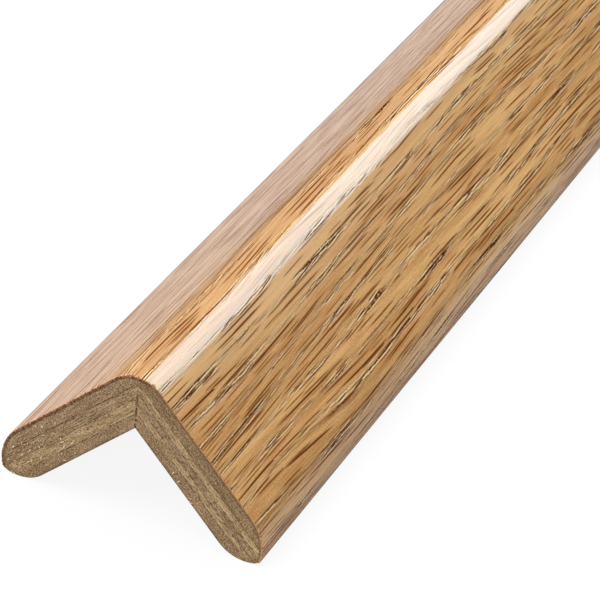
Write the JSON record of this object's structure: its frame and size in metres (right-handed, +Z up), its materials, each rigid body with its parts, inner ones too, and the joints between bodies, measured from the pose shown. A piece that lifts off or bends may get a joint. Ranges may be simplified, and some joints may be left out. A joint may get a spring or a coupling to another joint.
{
  "type": "corner guard moulding",
  "caption": "Straight L-shaped corner guard moulding of mitred plywood wrapped in lacquered oak veneer, with a rounded outside corner and pointed round edges.",
  "frame": {"origin": "centre of the bounding box's underside, on the floor between the two noses, halfway along the length", "axes": "+Y along the length away from the near end, +Z up towards the rounded outside corner, +X towards the right leg"},
  "size_m": [0.038, 1.22, 0.0222],
  "materials": {
    "oak_veneer": "gloss lacquer over open oak grain",
    "tan_ply": "raw, sawn across on the ends",
    "brown_ply": "raw, sawn across on the ends",
    "pale_ply": "raw, sawn across on the ends"
  },
  "bodies": {
    "root": {"oak_veneer": "oak_veneer", "left_outer_ply": "tan_ply", "left_second_ply": "brown_ply", "left_middle_ply": "tan_ply", "left_fourth_ply": "pale_ply", "left_inner_ply": "brown_ply", "right_outer_ply": "tan_ply", "right_second_ply": "pale_ply", "right_middle_ply": "brown_ply", "right_fourth_ply": "pale_ply", "right_inner_ply": "brown_ply"}
  },
  "joints": []
}
